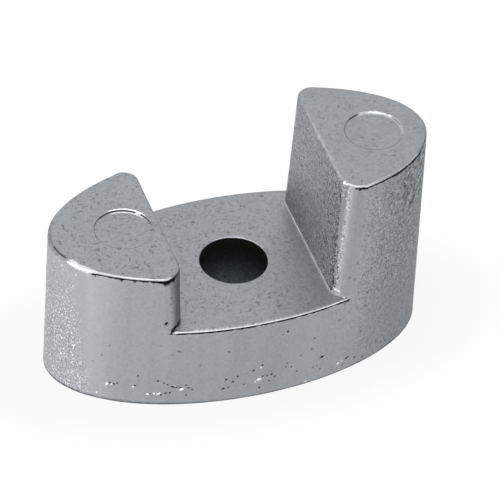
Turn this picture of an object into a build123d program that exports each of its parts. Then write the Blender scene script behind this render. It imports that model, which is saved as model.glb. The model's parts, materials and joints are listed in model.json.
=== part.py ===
from build123d import *

import os
from math import radians, tan

# Sacrificial anode, cast in one piece. Its plan is an ellipse and its base is flat.
# A low lobe and a high lobe stand on the two ends of the base slab, and a recess runs
# right across between them, with an upright bolt hole through the middle of its floor.
# The origin is the centre of the base face, +X runs along the ellipse towards the
# high lobe and +Z points up. Lengths are in millimetres and angles in degrees.

# Base slab and outer wall
body_length = 40.0  # long axis of the ellipse, at the base face
body_width = 19.9  # short axis of the ellipse, at the base face
base_height = 10.0  # from the base face up to the floor of the recess
outer_draft = 0.55  # the outer wall leans in by this angle as it rises

# Lobes and the recess between them
recess_length = 16.0  # between the feet of the two lobe walls
low_lobe_rise = 7.1  # from the recess floor to the top of the low lobe
high_lobe_rise = 14.2  # from the recess floor to the top of the high lobe
wall_draft = 2.2  # the lobe walls lean away from the recess by this angle
corner_radius = 1.75  # upright corners, where a lobe wall meets the outer wall
edge_round = 0.22  # rounded edge of the lobe tops and of the bolt hole's mouth

# Bolt hole, and the marks that the ejector pins of the mould left in the lobe tops
bolt_hole_diameter = 7.0
mark_diameter = 5.9
mark_depth = 0.15
low_mark_land = 0.85  # flat left between the low lobe's wall and its mark
high_mark_land = 2.8  # flat left between the high lobe's wall and its mark

# Slopes of the drafted faces: how far each one moves over a unit of height
outer_slope = tan(radians(outer_draft))
wall_slope = tan(radians(wall_draft))


def wall_distance(rise):
    """Distance from the bolt hole's axis to a lobe wall, at a height over the floor."""
    return recess_length / 2 + rise * wall_slope


with BuildPart() as anode_casting:
    # Base slab: the ellipse of the base face drawn up to the one at the recess floor
    for height in (0, base_height):
        lean = height * outer_slope
        with BuildSketch(Plane.XY.offset(height)) as slab_outline:
            Ellipse(body_length / 2 - lean, body_width / 2 - lean)
    loft(ruled=True)

    # Bolt hole through the slab, with a rounded mouth in the recess floor
    with Locations((0, 0, base_height)):
        Hole(radius=bolt_hole_diameter / 2, depth=base_height)
    hole_rims = anode_casting.edges().filter_by(GeomType.CIRCLE)
    fillet(hole_rims.sort_by(Axis.Z)[-1], radius=edge_round)

    # Lobes: each end of the ellipse, cut off by its wall, drawn up from floor to top
    for side, lobe_rise in ((-1, low_lobe_rise), (1, high_lobe_rise)):
        for rise in (0, lobe_rise):
            height = base_height + rise
            lean = height * outer_slope
            with BuildSketch(Plane.XY.offset(height)) as lobe_outline:
                Ellipse(body_length / 2 - lean, body_width / 2 - lean)
                with Locations((side * (wall_distance(rise) - body_length / 2), 0)):
                    Rectangle(body_length, body_width, mode=Mode.SUBTRACT)
                wall_corners = lobe_outline.vertices().sort_by(lambda corner: abs(corner.X))[:2]
                fillet(wall_corners, radius=corner_radius)
        loft(ruled=True)

    # Rounded edge all the way round both lobe tops
    low_top = base_height + low_lobe_rise
    high_top = base_height + high_lobe_rise
    lobe_tops = anode_casting.faces().filter_by(Axis.Z).filter_by_position(Axis.Z, low_top, high_top)
    fillet(lobe_tops.edges(), radius=edge_round)

    # Round, shallow ejector marks in the lobe tops
    low_mark_x = -(wall_distance(low_lobe_rise) + low_mark_land + mark_diameter / 2)
    high_mark_x = wall_distance(high_lobe_rise) + high_mark_land + mark_diameter / 2
    for mark_x, top in ((low_mark_x, low_top), (high_mark_x, high_top)):
        with BuildSketch(Plane.XY.offset(top)) as ejector_mark:
            with Locations((mark_x, 0)):
                Circle(mark_diameter / 2)
        extrude(amount=-mark_depth, mode=Mode.SUBTRACT)

os.makedirs("parts", exist_ok=True)
anode_casting.part.label = "anode_casting"
export_step(anode_casting.part, "parts/anode_casting.step")
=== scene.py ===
"""Sacrificial anode, cast in one piece from zinc alloy.

The casting is one closed skin. Its parts, the base slab, the two lobes, the recess floor and
the bolt hole, are grids of points worked out on shared edges and welded together. After that
the skin gets what the mould and the handling left on it: a slight waviness, grain, nicked
edges and pits. Shape functions work in millimetres, and the finished mesh is in metres.
"""

import json
import logging
import math
from dataclasses import dataclass, field
from enum import Enum

import bmesh
import bpy
import numpy as np
from mathutils import Matrix, Vector
from mathutils.bvhtree import BVHTree


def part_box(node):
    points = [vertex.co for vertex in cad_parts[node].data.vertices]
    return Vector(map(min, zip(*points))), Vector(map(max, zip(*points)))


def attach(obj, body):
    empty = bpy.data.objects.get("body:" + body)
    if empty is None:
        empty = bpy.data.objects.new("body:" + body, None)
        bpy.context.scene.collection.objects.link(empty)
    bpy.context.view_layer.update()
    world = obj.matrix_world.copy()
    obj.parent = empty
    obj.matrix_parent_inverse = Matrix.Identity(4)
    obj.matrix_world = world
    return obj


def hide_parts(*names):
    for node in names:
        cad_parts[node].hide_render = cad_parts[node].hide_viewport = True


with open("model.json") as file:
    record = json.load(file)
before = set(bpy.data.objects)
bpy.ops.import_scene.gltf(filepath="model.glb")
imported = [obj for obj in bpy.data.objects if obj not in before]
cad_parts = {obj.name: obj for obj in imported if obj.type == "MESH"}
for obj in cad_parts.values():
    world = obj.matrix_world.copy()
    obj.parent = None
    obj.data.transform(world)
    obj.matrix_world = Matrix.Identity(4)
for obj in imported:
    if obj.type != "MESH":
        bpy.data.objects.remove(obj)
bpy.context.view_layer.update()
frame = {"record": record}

log = logging.getLogger("anode")

MM = 0.001  # one millimetre, in metres
NODE = "anode_casting"
LIT_SIDE = -115.0  # degrees, bearing of the side towards the camera and the front lamps, whose edges get burnishing with a painted highlight
MIRROR_X = np.array([-1.0, 1.0, 1.0])
ELLIPSE_CHORDS = 2000
HALVINGS = 60
LATTICE_NUMBERS = 8192
LATTICE_PRIMES = (73856093, 19349663, 83492791)  # they spread neighbours over the numbers
PATCH_SEED = 6
PATCH_SPREAD = 1.4
GROOVE_SKEW = 1.6  # above 1, so that a groove is deepest near its lip
LIP_START = 0.75  # share of a groove's height above which it comes out to its lip
SHADE_FADE = 0.2  # shares of a groove's height, of the soft lower end of its painted shade
SHADE_TOP = 0.9  # and where the painted shade stops under the lip


class End(Enum):
    """The two ends of the casting, with the sign of their X."""

    LOW = -1
    HIGH = 1


def even_angles(half_length: float, half_width: float, start: float, stop: float,
                steps: int) -> np.ndarray:
    """Angles that divide a stretch of an ellipse into pieces of equal length.

    The length along the ellipse is summed over fine chords, and the angles are read back
    from it at equal shares of the whole.

    Args:
        half_length: half of the ellipse's axis along X.
        half_width: half of its axis along Y.
        start: first angle, in radians.
        stop: last angle, in radians.
        steps: number of pieces.

    Returns:
        steps + 1 angles, the first and last included.
    """
    fine = np.linspace(start, stop, ELLIPSE_CHORDS + 1)
    chords = np.hypot(np.diff(half_length * np.cos(fine)), np.diff(half_width * np.sin(fine)))
    along = np.concatenate(([0.0], np.cumsum(chords)))
    return np.interp(np.linspace(0.0, along[-1], steps + 1), along, fine)


def ease(value: np.ndarray, low: float, high: float) -> np.ndarray:
    """Cubic ease of a value: 0 below low, 1 above high and smooth between them."""
    share = np.clip((value - low) / (high - low), 0.0, 1.0)
    return share * share * (3.0 - 2.0 * share)


def shares(steps: int, first: int = 0) -> np.ndarray:
    """Even shares from 0 to 1 as a column, from the first step on."""
    return np.linspace(0.0, 1.0, steps + 1)[first:, None]


def quarter(steps: int) -> tuple[np.ndarray, np.ndarray]:
    """Cosines and sines of a quarter turn, from 0 to 90 degrees, as columns."""
    turn = shares(steps) * np.pi / 2
    return np.cos(turn), np.sin(turn)


def turns(steps: int) -> list[tuple[float, float]]:
    """Cosine and sine at each step of a quarter turn."""
    return [(float(cos), float(sin)) for cos, sin in np.hstack(quarter(steps))]


def facing(normals: np.ndarray, bearing: float) -> np.ndarray:
    """Cosine of the angle between plan normals (..., 2) and a bearing in degrees."""
    side = math.radians(bearing)
    return normals @ np.array([math.cos(side), math.sin(side)])


def facing_lit_side(normals: np.ndarray, low: float = 0.72, high: float = 0.9) -> np.ndarray:
    """How much an edge faces the lit side, from 0 to 1, by its outward plan normal: the share of
    its burnishing and painted highlight.
    """
    return ease(facing(normals, LIT_SIDE), low, high)


def groove_inset(share: np.ndarray | float, depth: np.ndarray, lip: np.ndarray) -> np.ndarray:
    """How far the band under a lip goes in, at a share of its height.

    It goes in by depth * sin(pi * share**GROOVE_SKEW) and comes out to the lip above LIP_START.
    """
    return depth * np.sin(np.pi * share**GROOVE_SKEW) - lip * ease(share, LIP_START, 1.0)


def hanging(share: np.ndarray, reach: np.ndarray) -> np.ndarray:
    """Painted shade that hangs down from a lip at share 1 as far as a reach, with soft ends."""
    lower_end = ease(share, 1.0 - reach, 1.0 + SHADE_FADE - reach)
    return lower_end * (1.0 - ease(share, SHADE_TOP, 1.0))


@dataclass(frozen=True)
class Noise:
    """Smooth random values over space."""

    cell: float  # mm, edge of the lattice's cubes
    amount: float  # largest value
    seed: int

    def at(self, places: np.ndarray) -> np.ndarray:
        """Values from -amount to amount at some places.

        Each point of a cubic lattice has a random number, and a place gets the mean of the
        eight numbers round it, weighted by a cubic ease along each axis.

        Args:
            places: (..., 3) array of places in millimetres.

        Returns:
            Array of the places' shape without its last axis.
        """
        numbers = np.random.default_rng(self.seed).uniform(-1.0, 1.0, LATTICE_NUMBERS)
        scaled = places.reshape(-1, 3) / self.cell
        lowest = np.floor(scaled).astype(np.int64)
        part = ease(scaled - lowest, 0.0, 1.0)
        total = np.zeros(len(scaled))
        for corner in np.ndindex(2, 2, 2):
            key = np.bitwise_xor.reduce((lowest + corner) * LATTICE_PRIMES, axis=1)
            weight = np.prod(np.where(corner, part, 1.0 - part), axis=1)
            total += numbers[key % LATTICE_NUMBERS] * weight
        return self.amount * total.reshape(places.shape[:-1])


@dataclass(frozen=True)
class Patches:
    """Uneven cover: about 1 - loss, PATCH_SPREAD * loss either way and never above 1."""

    cell: float  # mm
    loss: float

    def at(self, places: np.ndarray) -> np.ndarray:
        """The cover at some places (..., 3), from 0 to 1."""
        noise = Noise(self.cell, PATCH_SPREAD * self.loss, PATCH_SEED).at(places)
        return np.clip(1.0 - self.loss + noise, 0.0, 1.0)


@dataclass(frozen=True)
class Hump:
    """A soft band over shares: 1 within flat of its middle and 0 beyond foot of it."""

    middle: float
    flat: float
    foot: float

    def at(self, share: np.ndarray) -> np.ndarray:
        """The band's strength at some shares."""
        return 1.0 - ease(np.abs(share - self.middle), self.flat, self.foot)


@dataclass(frozen=True)
class Sizes:
    """Sizes of the casting, in millimetres and degrees.

    The box, the bolt hole and the height of the recess floor come from the frame.
    """

    length: float
    width: float
    height: float
    floor_height: float
    bore_radius: float
    outer_draft: float = 0.55
    recess_length: float = 16.0
    low_lobe_rise: float = 7.1
    wall_draft: float = 2.2
    corner_radius: float = 1.75
    rim_round: float = 0.18
    rim_band: float = 0.28
    lip: float = 0.04
    mouth_round: float = 0.1
    floor_edge_round: float = 0.12
    floor_edge_groove: float = 0.1
    foot_blend: float = 0.11
    foot_bead: float = 0.02
    shadeless_depth: float = 0.01  # of a groove that is too shallow to get painted shade
    full_shade_depth: float = 0.05  # of one that gets it in full
    base_round: float = 0.12
    mark_radius: float = 2.95
    mark_depth: float = 0.15
    mark_round: float = 0.09
    mark_line: float = 0.1
    mark_tilt: float = 0.7  # share of the mark's depth that its slant adds or takes away
    low_mark_land: float = 0.85
    high_mark_land: float = 2.8

    @classmethod
    def from_frame(cls) -> "Sizes":
        """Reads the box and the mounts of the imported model."""
        low, high = (np.array(corner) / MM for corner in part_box(NODE))
        mounts = {mount["name"]: mount for mount in frame["record"]["mounts"]}
        return cls(length=high[0] - low[0], width=high[1] - low[1], height=high[2] - low[2],
                   floor_height=mounts["bolt_seat"]["pos_m"][2] / MM,
                   bore_radius=mounts["bolt_hole"]["dims"]["r_mm"])

    def half_axes(self, height: float) -> tuple[float, float]:
        """Half axes of the outer ellipse at a height: it shrinks by the draft."""
        lean = height * math.tan(math.radians(self.outer_draft))
        return self.length / 2 - lean, self.width / 2 - lean

    def wall_distance(self, height: float) -> float:
        """Distance from the bolt hole's axis to a lobe wall, at a height."""
        rise = height - self.floor_height
        return self.recess_length / 2 + rise * math.tan(math.radians(self.wall_draft))

    def top(self, end: End) -> float:
        """Height of a lobe's top."""
        return self.height if end is End.HIGH else self.floor_height + self.low_lobe_rise

    def mark_place(self, end: End) -> float:
        """Distance from the bolt hole's axis to the centre of a lobe's ejector mark."""
        land = self.high_mark_land if end is End.HIGH else self.low_mark_land
        return self.wall_distance(self.top(end)) + land + self.mark_radius


@dataclass(frozen=True)
class Steps:
    """Numbers of grid steps along each stretch of the casting."""

    arc_front: int = 100
    arc_back: int = 46
    wedge: int = 13
    corner: int = 8
    wall: int = 66
    edge_front: int = 100
    edge_back: int = 44
    wedge_rows: int = 5
    slab_low_rows: int = 18
    slab_high_rows: int = 17
    high_lobe_rows: int = 38
    low_lobe_rows: int = 21
    round_rows: int = 4
    small_round_rows: int = 3
    band_rows: int = 6
    land_rows: int = 12
    disc_rows: int = 9
    floor_rows: int = 20
    bore_rows: int = 14
    base_rows: int = 6

    @property
    def arc(self) -> int:
        """Steps along the whole outer arc of a lobe."""
        return self.arc_front + self.arc_back


@dataclass
class Ring:
    """A closed loop in plan: points and their outward unit normals, each (N, 2)."""

    points: np.ndarray
    normals: np.ndarray


class Plan:
    """Plan view of the casting: the outlines that the surfaces are drawn between."""

    wedge_stop = 135.0  # degrees, direction of the last ray from a corner's centre
    soft_share = 0.33  # share of a wedge's gap that an edge's round may take

    def __init__(self, sizes: Sizes, steps: Steps) -> None:
        """Works out the shared angles at the height of the recess floor.

        Args:
            sizes: sizes of the casting.
            steps: numbers of grid steps.
        """
        self.sizes = sizes
        self.steps = steps
        half_length, half_width = sizes.half_axes(sizes.floor_height)
        self.tangent = self.tangent_angle(sizes.floor_height)
        front = even_angles(half_length, half_width, -self.tangent, 0.0, steps.arc_front)
        back = even_angles(half_length, half_width, 0.0, self.tangent, steps.arc_back)
        self.arc_angles = np.concatenate((front[:-1], back))
        self.corner_centre, self.corner_start = self.corner(sizes.floor_height)
        turn = np.radians(self.wedge_stop)
        first = np.linspace(self.corner_start, turn, steps.wedge + 1)
        second = np.linspace(turn, np.pi, steps.corner + 1)
        angles = np.concatenate((first[:-1], second))
        self.corner_shares = (angles - self.corner_start) / (np.pi - self.corner_start)
        self.wedge_angles, self.wedge_gaps = self.wedge_ends(first)

    def tangent_angle(self, height: float) -> float:
        """Ellipse angle at which a corner's round meets the outer wall.

        The corner's centre lies one radius inside the ellipse and one radius beyond the lobe
        wall. Its X falls steadily as the angle grows, so the angle is found by halving.

        Args:
            height: height of the section.

        Returns:
            The angle, in radians.
        """
        half_length, half_width = self.sizes.half_axes(height)
        radius = self.sizes.corner_radius
        wanted = self.sizes.wall_distance(height) + radius
        low, high = 0.0, math.pi / 2
        for _ in range(HALVINGS):
            angle = (low + high) / 2
            normal = np.array([half_width * math.cos(angle), half_length * math.sin(angle)])
            normal /= np.hypot(*normal)
            if half_length * math.cos(angle) - radius * normal[0] > wanted:
                low = angle
            else:
                high = angle
        return (low + high) / 2

    def ellipse(self, height: float, angles: np.ndarray) -> Ring:
        """Points and normals of the outer ellipse at a height, for an array of angles."""
        half_length, half_width = self.sizes.half_axes(height)
        cos, sin = np.cos(angles), np.sin(angles)
        normals = np.stack((half_width * cos, half_length * sin), axis=-1)
        normals /= np.linalg.norm(normals, axis=-1, keepdims=True)
        return Ring(np.stack((half_length * cos, half_width * sin), axis=-1), normals)

    def corner(self, height: float) -> tuple[np.ndarray, float]:
        """Centre of a lobe's back corner round and the direction in which it starts."""
        contact = self.ellipse(height, np.array([self.tangent_angle(height)]))
        normal = contact.normals[0]
        centre = contact.points[0] - self.sizes.corner_radius * normal
        return centre, math.atan2(normal[1], normal[0])

    def wedge_ends(self, directions: np.ndarray) -> tuple[np.ndarray, np.ndarray]:
        """Where rays from a corner's centre meet the outer ellipse.

        A ray's place is centre + t * direction. Put into the ellipse's equation it gives a
        quadratic in t, whose larger root is taken.

        Args:
            directions: directions of the rays, in radians.

        Returns:
            The ellipse angles of the meeting points, and the gap along each ray between the
            corner's round and the ellipse.
        """
        axes = np.array(self.sizes.half_axes(self.sizes.floor_height))
        rays = np.stack((np.cos(directions), np.sin(directions)), axis=-1) / axes
        start = self.corner_centre / axes
        square, double = (rays**2).sum(1), (rays * start).sum(1)
        length = (-double + np.sqrt(double**2 - square * ((start**2).sum() - 1.0))) / square
        ends = start + rays * length[:, None]
        gaps = length - self.sizes.corner_radius
        gaps[0] = 0.0
        return np.arctan2(ends[:, 1], ends[:, 0]), gaps

    def lobe_ring(self, height: float) -> Ring:
        """Outline of a lobe at a height, for the end at positive X.

        It runs anticlockwise: the arc of the outer ellipse, the back corner's round, the
        straight wall and the front corner's round.
        """
        tangent = self.tangent_angle(height)
        arc = self.ellipse(height, self.arc_angles * tangent / self.tangent)
        centre, start = self.corner(height)
        directions = start + self.corner_shares * (np.pi - start)
        back_normals = np.stack((np.cos(directions), np.sin(directions)), axis=-1)
        back = centre + self.sizes.corner_radius * back_normals
        flip = np.array([1.0, -1.0])
        share = shares(self.steps.wall)
        wall = back[-1] * (1.0 - share) + back[-1] * flip * share
        wall_normals = np.tile([-1.0, 0.0], (self.steps.wall + 1, 1))
        points = (arc.points[:-1], back[:-1], wall[:-1], (back * flip)[:0:-1])
        normals = (arc.normals[:-1], back_normals[:-1], wall_normals[:-1],
                   (back_normals * flip)[:0:-1])
        return Ring(np.concatenate(points), np.concatenate(normals))

    def soft_radius(self, radius: float) -> np.ndarray:
        """Radius of an edge along a wedge: at most a share of the gap it has."""
        return np.minimum(radius, self.soft_share * self.wedge_gaps)


class Skin:
    """Collects grids of points and welds them into one closed mesh."""

    merged = 0.002  # mm, distance within which points become one
    collapsed = 0.001  # mm, length below which an edge is taken out

    def __init__(self) -> None:
        """Starts with no grids."""
        self.points: list[np.ndarray] = []
        self.faces: list[np.ndarray] = []
        self.masks: dict[str, list[np.ndarray]] = {"wear_and_highlight": [], "dirt_and_shade": []}
        self.count = 0

    def add(self, grid: np.ndarray, closed: bool = True, wear_and_highlight: float | np.ndarray = 0.0,
            dirt_and_shade: float | np.ndarray = 0.0) -> None:
        """Adds a grid of points with the quads between them.

        Args:
            grid: (rows, columns, 3) array of places in millimetres.
            closed: whether the last column joins the first.
            wear_and_highlight: how much burnishing and painted highlight the points get, from 0 to
                1, one value or (rows, columns).
            dirt_and_shade: how dirty they are and how much painted shade they get, in the same
                form.
        """
        rows, columns = grid.shape[:2]
        index = self.count + np.arange(rows * columns).reshape(rows, columns)
        if closed:
            index = np.concatenate((index, index[:, :1]), axis=1)
        quads = np.stack((index[:-1, :-1], index[:-1, 1:], index[1:, 1:], index[1:, :-1]), axis=-1)
        self.points.append(grid.reshape(-1, 3))
        self.faces.append(quads.reshape(-1, 4))
        for name, values in (("wear_and_highlight", wear_and_highlight), ("dirt_and_shade", dirt_and_shade)):
            self.masks[name].append(np.broadcast_to(values, (rows, columns)).ravel())
        self.count += rows * columns

    def weld(self, name: str) -> bpy.types.Object:
        """Makes the mesh, merges the points on shared edges and turns its faces outwards.

        Args:
            name: name of the new object.

        Returns:
            The object, linked to the scene.
        """
        places = np.concatenate(self.points) * MM
        mesh = bpy.data.meshes.new(name)
        mesh.from_pydata(places.tolist(), [], np.concatenate(self.faces).tolist())
        for label, values in self.masks.items():
            layer = mesh.attributes.new(label, "FLOAT", "POINT")
            layer.data.foreach_set("value", np.concatenate(values).astype(np.float32))
        work = bmesh.new()
        work.from_mesh(mesh)
        bmesh.ops.remove_doubles(work, verts=work.verts, dist=self.merged * MM)
        bmesh.ops.dissolve_degenerate(work, edges=work.edges, dist=self.collapsed * MM)
        bmesh.ops.recalc_face_normals(work, faces=work.faces)
        work.to_mesh(mesh)
        work.free()
        mesh.shade_smooth()
        piece = bpy.data.objects.new(name, mesh)
        bpy.context.scene.collection.objects.link(piece)
        return piece


def raise_ring(points: np.ndarray, height: float | np.ndarray) -> np.ndarray:
    """Turns plan points (N, 2) into places (N, 3) at a height."""
    heights = np.broadcast_to(height, points.shape[:-1])
    return np.concatenate((points, heights[..., None]), axis=-1)


def between(first: np.ndarray, last: np.ndarray, steps: int) -> np.ndarray:
    """Rows of points that go straight from one row to another.

    Args:
        first: (N, 3) row to start from.
        last: (N, 3) row to end on.
        steps: number of steps.

    Returns:
        (steps + 1, N, 3) grid.
    """
    share = shares(steps)[..., None]
    return first * (1.0 - share) + last * share


@dataclass(frozen=True)
class RimZone:
    """A stretch of a lobe's rim and what is done to it there.

    The rim is divided by bearing: the direction, in degrees, of its outward normal in plan,
    0 at the tip, negative at the front and 180 on the wall of the recess.
    """

    start: float
    stop: float
    fade: float
    amount: float  # mm

    def at(self, bearings: np.ndarray) -> np.ndarray:
        """The amount at each bearing, with soft ends."""
        rise = ease(bearings, self.start - self.fade, self.start)
        fall = ease(bearings, self.stop, self.stop + self.fade)
        return self.amount * rise * (1.0 - fall)


@dataclass(frozen=True)
class RimWear:
    """What differs along a lobe's rim.

    rounded adds to the radius of the rim's round, and inner adds to it along the recess wall.
    grooves run under the rim's lip, and tall adds to the height of the band that holds them.
    burnish_and_highlight and lined have shares instead of millimetres: the first is burnishing
    with a painted highlight on the round, lined is for a dark line high on the round. corners says
    how far the top of the side stands further in than at its foot. notches vary the grooves'
    depth, and teeth vary how far the painted shade hangs down in them.
    """

    notches: Noise
    teeth: Noise
    inner: float
    rounded: tuple[RimZone, ...]
    grooves: tuple[RimZone, ...]
    tall: tuple[RimZone, ...]
    burnish_and_highlight: tuple[RimZone, ...]
    lined: tuple[RimZone, ...]
    corners: tuple[RimZone, ...]


LOW_RIM = RimWear(
    notches=Noise(0.45, 0.45, 30), teeth=Noise(0.28, 0.25, 40), inner=0.0,
    rounded=(RimZone(-46.0, 22.0, 10.0, 0.25), RimZone(-181.0, -140.0, 20.0, 0.03)),
    grooves=(RimZone(-100.0, -54.0, 6.0, 0.07), RimZone(-150.0, -72.0, 8.0, 0.07)),
    tall=(RimZone(-125.0, -76.0, 7.0, 0.3),),
    burnish_and_highlight=(RimZone(-100.0, -38.0, 9.0, 1.0),),
    lined=(RimZone(-28.0, -8.0, 5.0, 0.85),),
    corners=(RimZone(-132.0, -116.0, 42.0, 0.18), RimZone(105.0, 140.0, 38.0, -0.22)))
HIGH_RIM = RimWear(
    notches=Noise(0.45, 0.45, 32), teeth=Noise(0.28, 0.25, 42), inner=0.07,
    rounded=(RimZone(-150.0, -100.0, 18.0, 0.02),),
    grooves=(RimZone(-112.0, -74.0, 8.0, 0.09), RimZone(-71.0, -44.0, 4.0, 0.09)),
    tall=(RimZone(-100.0, -80.0, 8.0, 0.12), RimZone(-62.0, -46.0, 4.0, 0.1)),
    burnish_and_highlight=(RimZone(-165.0, -76.0, 9.0, 1.0), RimZone(-70.0, -50.0, 6.0, 0.5)),
    lined=(),
    corners=(RimZone(-146.0, -86.0, 28.0, 0.43), RimZone(105.0, 140.0, 38.0, -0.12)))


class Lobe:
    """One raised end of the casting, with the ejector mark in its top."""

    bead_bearings = (130.0, 170.0)  # degrees, where the foot's bead sets in
    wall_bearings = (176.0, 180.0)  # where the flat wall sets in
    clean_bearings = (110.0, 150.0)  # where the rim's dirt ends towards the wall
    rub_front = (-7.2, -5.8)  # mm across, where the rub on the inner rim sets in
    rub_back = (2.0, 5.5)  # and where it ends
    # the inner rim's rubbing also gets a faint painted highlight
    rub_and_sheen = 0.4
    # the rim's round is darker over its lower part, away from its highlight and the wall
    rim_darkening = 0.3
    bead_shine = 0.8
    burnish_and_highlight_band = Hump(0.6, 0.08, 0.34)  # bands over the round's height
    rub_and_sheen_band = Hump(0.6, 0.15, 0.5)
    darkened_band = Hump(0.4, 0.3, 0.6)
    lined_band = Hump(0.75, 0.02, 0.26)
    bead_band = Hump(0.5, 0.1, 0.4)
    burnish_and_highlight_patches = Patches(0.3, 0.1)
    rub_and_sheen_patches = Patches(0.24, 0.5)
    bead_patches = Patches(0.6, 0.3)
    mark_patches = {End.LOW: Patches(0.25, 0.1), End.HIGH: Patches(0.25, 0.35)}
    # painted highlight (mark_bright) and painted shade (mark_dark) on the rings of the mark's step
    mark_bright = {End.LOW: (1.0, 0.9, 0.0, 0.0, 0.0, 0.0, 0.0, 0.5, 0.9),  # ring by ring
                   End.HIGH: (0.0, 0.7, 1.0, 1.0, 1.0, 1.0, 1.0, 0.8, 0.3)}
    mark_dark = (0.0, 0.0, 0.3, 0.8, 0.95, 0.9, 0.4, 0.0, 0.0)
    mark_near_dark = 0.38  # share of that on the near arc
    tip_light = 0.4
    tip_side = -172.0  # degrees, bearing from the mark's arc at the tip to its middle

    def __init__(self, plan: Plan, end: End, wear: RimWear) -> None:
        """Takes the outlines at the lobe's foot and top from the plan."""
        self.plan = plan
        self.end = end
        self.wear = wear
        self.sizes = plan.sizes
        self.steps = plan.steps
        self.top = self.sizes.top(end)
        self.foot_ring = plan.lobe_ring(self.sizes.floor_height)
        self.top_ring = plan.lobe_ring(self.top)
        self.edge = raise_ring(self.top_ring.points, self.top)
        normals = self.top_ring.normals
        self.bearings = np.degrees(np.arctan2(normals[:, 1], normals[:, 0]))

    def along_rim(self, zones: tuple[RimZone, ...]) -> np.ndarray:
        """Sum of some zones' amounts, one value for each column of the rim."""
        return sum((zone.at(self.bearings) for zone in zones), np.zeros(len(self.bearings)))

    def foot_radii(self) -> np.ndarray:
        """Radius of the blend into the floor: none along the outer wall, full at the wall."""
        steps = self.steps
        arc = np.zeros(steps.arc)
        wedge = self.plan.soft_radius(self.sizes.foot_blend)
        full = np.full(2 * steps.corner + steps.wall - 1, self.sizes.foot_blend)
        return np.concatenate((arc, wedge, full, wedge[:0:-1]))

    def section(self, heights: np.ndarray, inset: np.ndarray | float = 0.0) -> np.ndarray:
        """Places on the side at one height per column, moved inwards by an inset.

        The outline goes straight up from the foot to the top.

        Args:
            heights: (rows, columns) heights in millimetres.
            inset: distances of the same form, or one for all.
        """
        rise = self.top - self.sizes.floor_height
        share = ((heights - self.sizes.floor_height) / rise)[..., None]
        drawn_in = self.along_rim(self.wear.corners)[:, None]
        top = self.top_ring.points - self.top_ring.normals * drawn_in
        plan = self.foot_ring.points * (1.0 - share) + top * share
        return raise_ring(plan - self.top_ring.normals * np.asarray(inset)[..., None], heights)

    def foot(self) -> np.ndarray:
        """Rows of the blend from the floor up to the wall, with a fine bead in it.

        At an angle t of the blend a point stands radius * (1 - sin t) out from the wall and
        blend * (1 - cos t) above the floor. The bead adds bead * sin(2t)**4 both ways.
        """
        cos, sin = quarter(self.steps.round_rows)
        radii = self.foot_radii()
        bead = self.sizes.foot_bead * self.bead_share() * (2.0 * sin * cos)**4
        heights = self.sizes.floor_height + self.sizes.foot_blend * (1.0 - cos) + bead
        rows = self.section(heights)
        rows[..., :2] += self.foot_ring.normals * (radii * (1.0 - sin) + bead)[..., None]
        return rows

    def bead_share(self) -> np.ndarray:
        """Share of the bead in each column: full along the high lobe's wall, else none."""
        share = ease(np.abs(self.bearings), *self.bead_bearings)
        return share if self.end is End.HIGH else 0.0 * share

    def rim_radii(self) -> np.ndarray:
        """Radius of the top's edge round, one per column."""
        extra = self.along_rim(self.wear.rounded)
        return self.sizes.rim_round + extra + self.wear.inner * self.inner_share()

    def inner_share(self) -> np.ndarray:
        """Share of the rub on the inner rim in each column: it fades towards the back."""
        across = self.top_ring.points[:, 1]
        wall = ease(np.abs(self.bearings), *self.wall_bearings)
        return wall * ease(across, *self.rub_front) * (1.0 - ease(across, *self.rub_back))

    def groove_depths(self) -> np.ndarray:
        """Depth of the groove under the lip, one per column, with ragged variation."""
        return self.along_rim(self.wear.grooves) * (1.0 + self.wear.notches.at(self.edge))

    def rim(self) -> np.ndarray:
        """Rows of the rounded edge of the top: a quarter circle turned inwards.

        Where there is a groove under it, the round stands proud as a small lip.
        """
        cos, sin = quarter(self.steps.round_rows)
        radius = self.rim_radii()
        inset = radius * (1.0 - cos) - self.lip_widths() * cos
        return self.section(self.top - radius * (1.0 - sin), inset)

    def lip_widths(self) -> np.ndarray:
        """How far the lip stands out, one per column."""
        return np.minimum(self.groove_depths(), self.sizes.lip)

    def band(self) -> np.ndarray:
        """Rows of the narrow band under the rim, which holds the groove."""
        radius, depth, lip = self.rim_radii(), self.groove_depths(), self.lip_widths()
        share = shares(self.steps.band_rows)
        heights = self.top - radius - self.band_heights() * (1.0 - share)
        return self.section(heights, groove_inset(share, depth, lip))

    def band_heights(self) -> np.ndarray:
        """Height of the band under the rim, one per column."""
        return self.sizes.rim_band + self.along_rim(self.wear.tall)

    def band_shade(self) -> np.ndarray:
        """Painted shade in the band: teeth that hang from the lip, full from full_shade_depth on.
        """
        shade_share = hanging(shares(self.steps.band_rows), 1.0 + self.wear.teeth.at(self.edge))
        return shade_share * ease(self.groove_depths(), self.sizes.shadeless_depth, self.sizes.full_shade_depth)

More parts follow.
